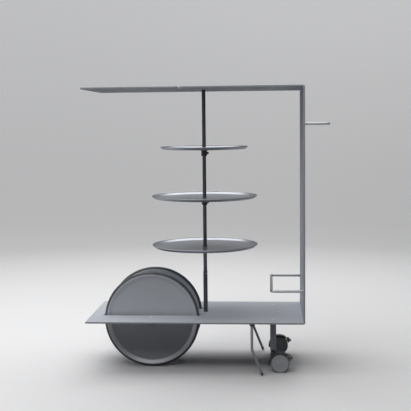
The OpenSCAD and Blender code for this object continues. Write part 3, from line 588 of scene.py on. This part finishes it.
def pole_rod():
    """Upper pole: a solid rod with eased ends, turned and closed at its middle."""
    core = 0.3
    corners = [(core, upper_low[2]), (UPPER_POLE, upper_low[2]), (UPPER_POLE, upper_high[2]),
               (core, upper_high[2])]
    outline = filleted(corners, [0, 0.8, 0.5, 0], closed=False)
    return revolved(outline, (POLE_X, 0, 0), UP, SLIM, closed=False)


def rod_loop(root_x, bow_x, z):
    """U of round rod: two arms square to the upright and a bow, with two equal bends."""
    corners = [(root_x, -ROD_Y, z), (bow_x, -ROD_Y, z), (bow_x, ROD_Y, z), (root_x, ROD_Y, z)]
    return swept_rod(bent_path(corners, [ROD_BEND, ROD_BEND], 14), ROD, UP)


STAND_SLANT = math.radians(22.0)
STAND_KNEE = 96.0
STAND_BEND = 22.0
SOLE = 0.5
STAND_X = stand_low[0] + ROD
STAND_Y = stand_high[1] - ROD
HINGE_Z = stand_high[2] - ROD
SLANT_WAY = np.array([math.sin(STAND_SLANT), 0.0, -math.cos(STAND_SLANT)])
SLANT_LENGTH = (STAND_KNEE - SOLE - ROD * math.sin(STAND_SLANT)) / math.cos(STAND_SLANT)


def stand_rod():
    """Parking stand: one rod bent at both knees and both upper corners."""
    knees = [np.array([STAND_X, side * STAND_Y, STAND_KNEE]) for side in (-1, 1)]
    in_foot = 9.0
    ends = [knee + SLANT_WAY * (SLANT_LENGTH - in_foot) for knee in knees]
    tops = [(STAND_X, side * STAND_Y, HINGE_Z) for side in (-1, 1)]
    corners = [ends[0], knees[0], tops[0], tops[1], knees[1], ends[1]]
    bends = [STAND_BEND, ROD_BEND, ROD_BEND, STAND_BEND]
    return swept_rod(bent_path(corners, bends, 12), ROD, (1, 0, 0))


def stand_foot(side):
    """Rubber cap on a leg's end: a sleeve with a rolled mouth and a rounded sole."""
    knee = np.array([STAND_X, side * STAND_Y, STAND_KNEE])
    outline = filleted([(0.4, 0), (5.1, 0), (5.1, 7.8), (5.5, 8.6), (5.5, 9.8), (4.4, 10.0)],
                       [0, 2.0, 0.6, 0.4, 0.5, 0], closed=False)
    return revolved(outline, knee + SLANT_WAY * SLANT_LENGTH, -SLANT_WAY, 40, closed=False)


# Casters

TREAD = 3.0
DISC_GAP_HALF = 4.5


def caster_disc(side, way):
    """One caster wheel: a lip, a shallow dish and a raised cap, turned about the axle."""
    core, inner, depth, floor, cap = 0.3, CASTER_RADIUS - TREAD, 8.5, 7.7, 9.0
    corners = [(core, 0), (inner, 0), (inner, depth), (inner - 3, depth), (inner - 4.2, floor),
               (cap + 1.2, floor), (cap, depth), (core, depth)]
    outline = filleted(corners, [0, 0.4, 1.0, 0.6, 0.8, 0.8, 0.6, 0], closed=False)
    centre = np.array([CASTER_AXLE_X, side * CASTER_OFFSET + way * DISC_GAP_HALF, CASTER_Z])
    return revolved(outline, centre, (0, way, 0), MIDDLING, closed=False)


def caster_tyre(side, way):
    """Moulded tread of one caster wheel: a band with rounded shoulders."""
    inner, outer, width = CASTER_RADIUS - TREAD, CASTER_RADIUS, 7.0
    corners = [(inner, 0), (outer, 0), (outer, width), (inner, width)]
    centre = np.array([CASTER_AXLE_X, side * CASTER_OFFSET + way * DISC_GAP_HALF, CASTER_Z])
    return revolved(filleted(corners, [0.2, 1.4, 1.8, 0.4]), centre, (0, way, 0), MIDDLING)


# Every new piece, with the body that carries it and the frame node it stands for

mesh_piece("folded_sheet", [sheet_frame()], "cart_frame", "folded_frame",
           flat_faces=True)
for side_name, side in SIDES.items():
    centre = np.array([WHEEL_X, side * WHEEL_OFFSET, AXLE_Z])
    out = (0.0, side, 0.0)
    wheel = side_name + "_wheel"
    mesh_piece(wheel + "_rim", [wheel_rim(centre, out)], wheel,
               wheel + "_disc")
    mesh_piece(wheel + "_tread", [wheel_tyre(centre, out)], wheel, wheel + "_tyre")
    mesh_piece(wheel + "_flange", [wheel_hub(centre, out)], wheel,
               wheel + "_hub")
    mesh_piece(wheel + "_flange_rivets", rivets(centre, out), wheel,
               wheel + "_rivets")
    caster = side_name + "_caster"
    mesh_piece(caster + "_discs", [caster_disc(side, way) for way in (-1, 1)],
               side_name + "_wheelset", caster + "_wheels")
    mesh_piece(caster + "_treads", [caster_tyre(side, way) for way in (-1, 1)],
               side_name + "_wheelset", caster + "_tyres")
for level, z in LEVELS.items():
    tray_low, tray_high = box_mm(level + "_tray")
    knob_low, knob_high = box_mm(level + "_tray_knob")
    plate_body, collar_body = level + "_tray_plate", level + "_collar"
    mesh_piece(level + "_spun_tray", [spun_tray((tray_high[0] - tray_low[0]) / 2, z)], plate_body,
               level + "_tray")
    mesh_piece(level + "_tray_ring", [tray_ring(z)], plate_body,
               level + "_tray_hub")
    mesh_piece(level + "_moulded_collar", [tray_collar(z)], collar_body,
               level + "_tray_collar")
    mesh_piece(level + "_fluted_knob", [knob(z, knob_low[0] - POLE_X, knob_high[0] - POLE_X)],
               level + "_knob", level + "_tray_knob")

mesh_piece("lower_pole_tube", [pole_tube()], "cart_frame", "lower_pole")
mesh_piece("upper_pole_rod", [pole_rod()], "cart_frame", "upper_pole")
LOCK_WAY = np.array([1.0, -1.0, 0.0]) / math.sqrt(2)
LOCK_DOWN = 10.0
LOCK_PLACE = np.array([POLE_X, 0, lower_high[2] - LOCK_DOWN]) + LOCK_WAY * LOWER_POLE
mesh_piece("pole_cap_screw", [lock_screw(LOCK_PLACE, LOCK_WAY)], "cart_frame",
           "pole_lock_screw")
mesh_piece("pole_socket_screws", [flush_screw((POLE_X, 0, TOP_Z), UP),
                                  flush_screw((POLE_X, 0, UNDER_Z), (0, 0, -1))],
           "cart_frame", "pole_end_screws")
mesh_piece("block_socket_screws", [flush_screw((WHEEL_X, side * BLOCK_SCREW_Y, BASE_Z), UP)
                                   for side in SIDES.values()],
           "cart_frame", "axle_block_screws")
LEG_STEEL, NUT_HEIGHT = 5.0, 5.0
mesh_piece("leg_screws_and_nuts", [
    shell for side in SIDES.values() for shell in (
        flush_screw((SWIVEL_X, side * CASTER_OFFSET, BASE_Z), UP, SHEET + LEG_STEEL + NUT_HEIGHT),
        hexagon_nut((SWIVEL_X, side * CASTER_OFFSET, UNDER_Z - LEG_STEEL), NUT_HEIGHT))
], "cart_frame", "caster_leg_screws")
mesh_piece("rail_socket_screws", [
    shell for side in SIDES.values() for shell in (
        flush_screw((RIGHT_X, side * ROD_Y, GUARD_Z), (1, 0, 0)),
        flush_screw((WALL_X, side * ROD_Y, HANDLE_Z), (-1, 0, 0)))
], "cart_frame", "rail_screws")
mesh_piece("guard_rod", [rod_loop(WALL_X, guard_low[0] + ROD, GUARD_Z)], "cart_frame",
           "bottle_guard")
mesh_piece("handle_rod", [rod_loop(RIGHT_X, handle_high[0] - ROD, HANDLE_Z)], "cart_frame",
           "push_handle")
mesh_piece("bent_stand_rod", [stand_rod()], "stand", "parking_stand")
mesh_piece("stand_feet", [stand_foot(side) for side in SIDES.values()], "stand",
           "stand_tips")


# Materials, each named for what it is and how it was finished


def add_node(tree, kind, values=None, links=None, **settings):
    """Adds one node with its settings, socket values and links, and returns it."""
    node = tree.nodes.new(kind)
    for name, value in settings.items():
        setattr(node, name, value)
    for socket, value in (values or {}).items():
        node.inputs[socket].default_value = value
    for socket, source in (links or {}).items():
        tree.links.new(source, node.inputs[socket])
    return node


def start_material(name, metallic, roughness):
    """A new material with its Principled shader and Object coordinates."""
    made = bpy.data.materials.new(name)
    made.use_nodes = True
    tree = made.node_tree
    shader = tree.nodes["Principled BSDF"]
    shader.inputs["Metallic"].default_value = metallic
    shader.inputs["Roughness"].default_value = roughness
    place = add_node(tree, "ShaderNodeTexCoord").outputs["Object"]
    return made, tree, shader, place


def across(millimetres):
    """Scale at which a noise's features are this many millimetres across."""
    return 1 / (millimetres * MM)


def colour_between(tree, shader, factor, dark, light):
    """Base colour between two sRGB hex tones as the factor goes from 0 to 1."""
    mix = add_node(tree, "ShaderNodeMix", {"A": hex_to_linear(dark), "B": hex_to_linear(light)},
                   {"Factor": factor}, data_type="RGBA")
    tree.links.new(mix.outputs["Result"], shader.inputs["Base Color"])


def clouded(tree, shader, place, size, detail, dark, light):
    """Base colour that drifts between two tones in clouds of a size in mm, and the clouds."""
    cloud = add_node(tree, "ShaderNodeTexNoise", {"Scale": across(size), "Detail": detail},
                     {"Vector": place}).outputs["Fac"]
    colour_between(tree, shader, cloud, dark, light)
    return cloud


def roughness_between(tree, shader, noise, low, high):
    """Roughness from low to high over the middle range, where most of a noise lies."""
    rough = add_node(tree, "ShaderNodeMapRange",
                     {"From Min": 0.3, "From Max": 0.7, "To Min": low, "To Max": high},
                     {"Value": noise})
    tree.links.new(rough.outputs["Result"], shader.inputs["Roughness"])


def relief(tree, shader, pattern, strength, ease=None):
    """Bump of up to 0.1 mm from a pattern, over sharp edges eased by a radius in mm if given."""
    links = {"Height": pattern}
    if ease:
        eased = add_node(tree, "ShaderNodeBevel", {"Radius": ease * MM}, samples=4)
        links["Normal"] = eased.outputs["Normal"]
    bump = add_node(tree, "ShaderNodeBump", {"Strength": strength, "Distance": 0.1 * MM}, links)
    tree.links.new(bump.outputs["Normal"], shader.inputs["Normal"])


def powder_coated_sheet():
    """Aluminium sheet with a satin powder coat: a cool, pale grey, nearly matt and even.

    The coat's fine texture is really 0.3 mm, too fine to show, and is drawn at 2 mm."""
    made, tree, shader, place = start_material("satin_grey_powder_coat", 0.0, 0.6)
    shader.inputs["Specular IOR Level"].default_value = 0.2
    clouded(tree, shader, place, 167, 3.0, "#bfc3cc", "#c9cdd5")
    grain = add_node(tree, "ShaderNodeTexNoise", {"Scale": across(2.0), "Detail": 2.0},
                     {"Vector": place}).outputs["Fac"]
    roughness_between(tree, shader, grain, 0.56, 0.64)
    relief(tree, shader, grain, 0.06)
    return made


def turned_rings(tree, place, centre, axis, pitch):
    """Concentric tool marks of the given pitch about an axis through the centre.

    The wave's own period is a full turn over twenty times its scale."""
    centred = add_node(tree, "ShaderNodeMapping", {"Location": [-c * MM for c in centre]},
                       {"Vector": place}, vector_type="POINT")
    return add_node(
        tree, "ShaderNodeTexWave",
        {"Scale": FULL_TURN / 20 / pitch, "Distortion": 0.4, "Detail": 1.0, "Detail Scale": 2.0},
        {"Vector": centred.outputs["Vector"]},
        wave_type="RINGS", rings_direction=axis.upper(),
    ).outputs["Fac"]


def distance_from_axis(tree, place, centre):
    """Distance from a wheel's axle line, which runs along y through the centre."""
    flat = add_node(tree, "ShaderNodeVectorMath", {1: (1.0, 0.0, 1.0)}, {0: place},
                    operation="MULTIPLY")
    middle = (centre[0] * MM, 0.0, centre[2] * MM)
    return add_node(tree, "ShaderNodeVectorMath", {1: middle}, {0: flat.outputs["Vector"]},
                    operation="DISTANCE").outputs["Value"]


def turned_aluminium(name, centre, axis, dark, light, metallic, roughness, bright_lip=None,
                     grazing=1.0):
    """Aluminium turned or spun on a lathe, bare or under a satin lacquer: faint rings, soft shine.

    The tool leaves a mark every 0.5 mm, drawn at 3 mm to show from near. Past the radius
    bright_lip the lacquer is worn thin, which leaves a shinier band. Grazing is the share of
    light that the ridges of the tool marks let pass along the surface."""
    worn_metallic, worn_roughness, worn_edge = 0.25, 0.4, 0.5
    made, tree, shader, place = start_material(name, metallic, roughness)
    rings = turned_rings(tree, place, centre, axis, 3 * MM)
    clouded(tree, shader, place, 143, 2.0, dark, light)
    rough = add_node(tree, "ShaderNodeMapRange",
                     {"To Min": roughness - 0.02, "To Max": roughness + 0.03}, {"Value": rings})
    if bright_lip:
        worn = add_node(tree, "ShaderNodeMapRange",
                        {"From Min": (bright_lip - worn_edge) * MM,
                         "From Max": (bright_lip + worn_edge) * MM},
                        {"Value": distance_from_axis(tree, place, centre)}).outputs["Result"]
        metal = add_node(tree, "ShaderNodeMapRange",
                         {"To Min": metallic, "To Max": worn_metallic}, {"Value": worn})
        tree.links.new(metal.outputs["Result"], shader.inputs["Metallic"])
        rough = add_node(tree, "ShaderNodeMix", {"B": worn_roughness},
                         {"Factor": worn, "A": rough.outputs["Result"]})
    tree.links.new(rough.outputs["Result"], shader.inputs["Roughness"])
    shader.inputs["Specular Tint"].default_value = (*[grazing] * 3, 1.0)
    relief(tree, shader, rings, 0.02)
    return made


def polished_steel():
    """Stainless round bar, polished then lightly brushed: bright with a narrow highlight.

    The fine brush marks dim what it mirrors at a shallow angle, so its tint there is grey."""
    made, tree, shader, place = start_material("satin_polished_stainless_steel", 1.0, 0.32)
    streak = clouded(tree, shader, place, 6.25, 3.0, "#a0a2a5", "#aeb0b3")
    shader.inputs["Specular Tint"].default_value = (0.75, 0.75, 0.75, 1.0)
    roughness_between(tree, shader, streak, 0.28, 0.38)
    return made


def plated_screws():
    """Bright zinc plate on steel screws, a little milky, whitened as a painted highlight so flat
    heads shine.
    """
    made, tree, shader, place = start_material("zinc_plated_steel_with_painted_highlight", 0.3, 0.36)
    # Near-white colour: partly the zinc plate's own pale tone and partly a painted highlight, so
    # that a flat head shows as a bright dot.
    haze = clouded(tree, shader, place, 4.0, 2.0, "#f2f3f4", "#fafafb")
    roughness_between(tree, shader, haze, 0.32, 0.42)
    return made


def coated_steel(name, dark, light, roughness=0.45):
    """Steel under a thin coat of powder, lacquer or oxide: even, with a low, pebbled gloss.

    The coat's orange peel is about 1 mm across."""
    made, tree, shader, place = start_material(name, 0.35, roughness)
    clouded(tree, shader, place, 71.4, 2.0, dark, light)
    peel = add_node(tree, "ShaderNodeTexNoise", {"Scale": across(1.11), "Detail": 1.0},
                    {"Vector": place})
    relief(tree, shader, peel.outputs["Fac"], 0.1, ease=0.7)
    return made


def moulded_plastic(name, dark, light, roughness):
    """Injection-moulded nylon, acetal or ABS: an even, slightly soft shine.

    Its spark-eroded grain is really 0.1 mm, too fine to show, and is drawn at 1.25 mm."""
    made, tree, shader, place = start_material(name, 0.0, roughness)
    clouded(tree, shader, place, 33.3, 2.0, dark, light)
    grain = add_node(tree, "ShaderNodeTexNoise", {"Scale": across(1.25), "Detail": 1.0},
                     {"Vector": place})
    relief(tree, shader, grain.outputs["Fac"], 0.12, ease=0.5)
    return made


def vulcanised_rubber(name, dark, light, roughness=0.6):
    """Solid rubber tread: dry and matt, with patches of dust about 25 mm across.

    The mould's grain is really 0.3 mm, too fine to show, and is drawn at 1.4 mm."""
    made, tree, shader, place = start_material(name, 0.0, roughness)
    dust = add_node(tree, "ShaderNodeTexNoise", {"Scale": across(25), "Detail": 4.0},
                    {"Vector": place})
    patches = add_node(tree, "ShaderNodeMapRange", {"From Min": 0.35, "From Max": 0.7},
                       {"Value": dust.outputs["Fac"]})
    colour_between(tree, shader, patches.outputs["Result"], dark, light)
    grain = add_node(tree, "ShaderNodeTexNoise", {"Scale": across(1.43), "Detail": 1.0},
                     {"Vector": place})
    relief(tree, shader, grain.outputs["Fac"], 0.15)
    return made


sheet_finish = powder_coated_sheet()
steel_finish = polished_steel()
screw_finish = plated_screws()
leg_finish = coated_steel("grey_powder_coated_steel", "#6c6e76", "#75777f")
dark_finish = coated_steel("black_oxide_steel", "#1d1e21", "#26272b", 0.5)
pole_finish = coated_steel("grey_lacquered_steel_tube", "#56575e", "#606168", 0.33)
stand_finish = coated_steel("light_grey_lacquered_steel", "#9fa0a6", "#aaabb1", 0.38)
black_plastic = moulded_plastic("black_moulded_abs", "#141416", "#1c1c1f", 0.42)
hood_plastic = moulded_plastic("charcoal_moulded_nylon", "#3a3a3e", "#434349", 0.5)
lever_plastic = moulded_plastic("grey_moulded_acetal", "#6c6c70", "#77777b", 0.42)
disc_plastic = moulded_plastic("grey_moulded_nylon", "#ced1d6", "#d7dadf", 0.45)
bush_plastic = moulded_plastic("cream_acetal", "#c9c0a6", "#d2cab2", 0.4)
tyre_rubber = vulcanised_rubber("grey_tyre_rubber", "#58595b", "#66676a", 0.5)
tread_rubber = vulcanised_rubber("grey_thermoplastic_rubber", "#a3a6aa", "#b0b3b7")
FINISH = {
    "folded_sheet": sheet_finish,
    "axle_blocks": sheet_finish, "stand_saddles": leg_finish, "main_axle": steel_finish,
    "axle_spacer": dark_finish, "block_socket_screws": screw_finish,
    "lower_pole_tube": pole_finish, "upper_pole_rod": pole_finish, "pole_cap_screw": screw_finish,
    "pole_socket_screws": screw_finish, "rail_socket_screws": screw_finish,
    "leg_screws_and_nuts": screw_finish, "guard_rod": steel_finish, "handle_rod": steel_finish,
    "front_caster_leg": leg_finish, "rear_caster_leg": leg_finish,
    "bent_stand_rod": stand_finish, "stand_feet": tyre_rubber,
}
for side_name, side in SIDES.items():
    centre = (WHEEL_X, side * WHEEL_OFFSET, AXLE_Z)
    wheel_metal = turned_aluminium(side_name + "_lacquered_turned_aluminium", centre, "y",
                                   "#cbced4", "#d5d8de", metallic=0.02, roughness=0.5,
                                   bright_lip=RIM_RADIUS - WORN_LIP)
    FINISH.update({side_name + part: finish for part, finish in {
        "_wheel_rim": wheel_metal, "_wheel_flange": wheel_metal, "_wheel_tread": tyre_rubber,
        "_wheel_bush": bush_plastic, "_wheel_flange_rivets": steel_finish,
        "_caster_hood": hood_plastic, "_caster_stem": dark_finish,
        "_caster_discs": disc_plastic, "_caster_treads": tread_rubber,
        "_caster_axle": steel_finish, "_brake_lever": lever_plastic,
        "_brake_pin": steel_finish,
    }.items()})
tray_metal = turned_aluminium("bare_spun_aluminium", (POLE_X, 0.0, 0.0), "z", "#a6a9af",
                              "#b1b4ba", metallic=0.8, roughness=0.32, grazing=0.5)
for level in LEVELS:
    FINISH.update({
        level + "_spun_tray": tray_metal, level + "_tray_ring": tray_metal,
        level + "_moulded_collar": black_plastic, level + "_fluted_knob": black_plastic,
    })
for name, finish in FINISH.items():
    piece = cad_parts[name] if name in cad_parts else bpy.data.objects[name]
    piece.data.materials.clear()
    piece.data.materials.append(finish)


# Studio


def seen_directly(tree):
    """1 for a ray from the camera, a reflection or clear glass, and 0 for bounced light."""
    path = add_node(tree, "ShaderNodeLightPath").outputs
    glossy = add_node(tree, "ShaderNodeMath",
                      links={0: path["Is Camera Ray"], 1: path["Is Glossy Ray"]},
                      operation="MAXIMUM")
    return add_node(tree, "ShaderNodeMath",
                    links={0: glossy.outputs["Value"], 1: path["Is Transmission Ray"]},
                    operation="MAXIMUM").outputs["Value"]


def studio():
    """Round, pale floor that curves up into a wall on all sides, so that every view has it.

    Distance from the middle and height follow a quarter circle between floor and wall. The
    wall is kept pale with height for the camera and reflections; no other ray sees that."""
    middle, reach, top_z, curve, segments = 0.5, 5.6, 5.0, 2.2, 128
    glow_from, glow_to, glow = 0.1, 2.2, 0.36
    arc = np.linspace(0, math.pi / 2, 24)
    outline = np.stack([np.concatenate([[middle], reach - curve + curve * np.sin(arc), [reach]]),
                        np.concatenate([[0.0], curve - curve * np.cos(arc), [top_z]])], axis=1)
    points, faces = revolved(outline, (0, 0, 0), UP, segments, closed=False)
    floor = smooth_object("studio_floor", points, faces[:-segments])
    made, tree, shader, place = start_material("pale_studio_paper", 0.0, 0.9)
    seen = seen_directly(tree)
    colour_between(tree, shader, seen, "#4a4a4c", "#f2f2f3")
    height = add_node(tree, "ShaderNodeSeparateXYZ", links={"Vector": place}).outputs["Z"]
    rising = add_node(tree, "ShaderNodeMapRange",
                      {"From Min": glow_from, "From Max": glow_to, "To Max": glow},
                      {"Value": height}).outputs["Result"]
    pale = add_node(tree, "ShaderNodeMath", links={0: seen, 1: rising}, operation="MULTIPLY")
    shader.inputs["Emission Color"].default_value = hex_to_linear("#f6f7f9")
    tree.links.new(pale.outputs["Value"], shader.inputs["Emission Strength"])
    floor.data.materials.append(made)


def soft_lamp(name, place, target, width, depth, watts):
    """Oblong soft box at a place, turned to face a target."""
    data = bpy.data.lights.new(name, "AREA")
    data.shape = "RECTANGLE"
    data.size, data.size_y, data.energy = width, depth, watts
    lamp = bpy.data.objects.new(name, data)
    lamp.location = place
    lamp.rotation_euler = (Vector(target) - Vector(place)).to_track_quat("-Z", "Y").to_euler()
    bpy.context.scene.collection.objects.link(lamp)


def world_light(strength, seen_strength, colour):
    """Even grey surroundings, paler to the camera and in reflections."""
    world = bpy.data.worlds.new("studio_surroundings")
    bpy.context.scene.world = world
    world.use_nodes = True
    tree = world.node_tree
    background = tree.nodes["Background"]
    background.inputs["Color"].default_value = hex_to_linear(colour)
    level = add_node(tree, "ShaderNodeMix",
                     {"A": strength, "B": seen_strength}, {"Factor": seen_directly(tree)})
    tree.links.new(level.outputs["Result"], background.inputs["Strength"])


studio()
soft_lamp("overhead_soft_box", place=(-0.9, 0.8, 3.4), target=(-0.7, 0.5, 0.0),
          width=6.0, depth=3.8, watts=158)
soft_lamp("high_front_soft_box", place=(-0.8, -2.8, 3.6), target=(-0.1, 0.0, 0.2),
          width=3.2, depth=1.4, watts=44)
world_light(strength=0.05, seen_strength=0.72, colour="#f2f3f5")

# Camera, solved from the straight edges of the plates in the photograph
CAMERA_PLACE = (0.2315, -3.4421, 0.9096)
CAMERA_TURN_LEFT = math.radians(4.078)
CAMERA_TILT_DOWN = math.radians(5.050)
CAMERA_ROLL = math.radians(-0.595)
FOCAL_PIXELS = 912.56
PHOTO_PIXELS = 411
SENSOR_MM = 36.0


def photo_camera():
    """Camera whose axes are: ahead, from turn and tilt; right and up, turned by the roll."""
    turn, tilt, roll = CAMERA_TURN_LEFT, CAMERA_TILT_DOWN, CAMERA_ROLL
    ahead = Vector((-math.sin(turn) * math.cos(tilt), math.cos(turn) * math.cos(tilt),
                    -math.sin(tilt)))
    level_right = Vector((math.cos(turn), math.sin(turn), 0.0))
    level_up = level_right.cross(ahead)
    right = math.cos(roll) * level_right + math.sin(roll) * level_up
    up = math.cos(roll) * level_up - math.sin(roll) * level_right
    data = bpy.data.cameras.new("photo_camera")
    data.sensor_fit = "HORIZONTAL"
    data.sensor_width = SENSOR_MM
    data.lens = FOCAL_PIXELS / PHOTO_PIXELS * SENSOR_MM
    camera = bpy.data.objects.new("photo_camera", data)
    turned = Matrix((right, up, -ahead)).transposed().to_4x4()
    camera.matrix_world = Matrix.Translation(CAMERA_PLACE) @ turned
    bpy.context.scene.collection.objects.link(camera)
    bpy.context.scene.camera = camera


photo_camera()
bpy.context.scene.view_settings.view_transform = "Standard"

bpy.context.view_layer.update()
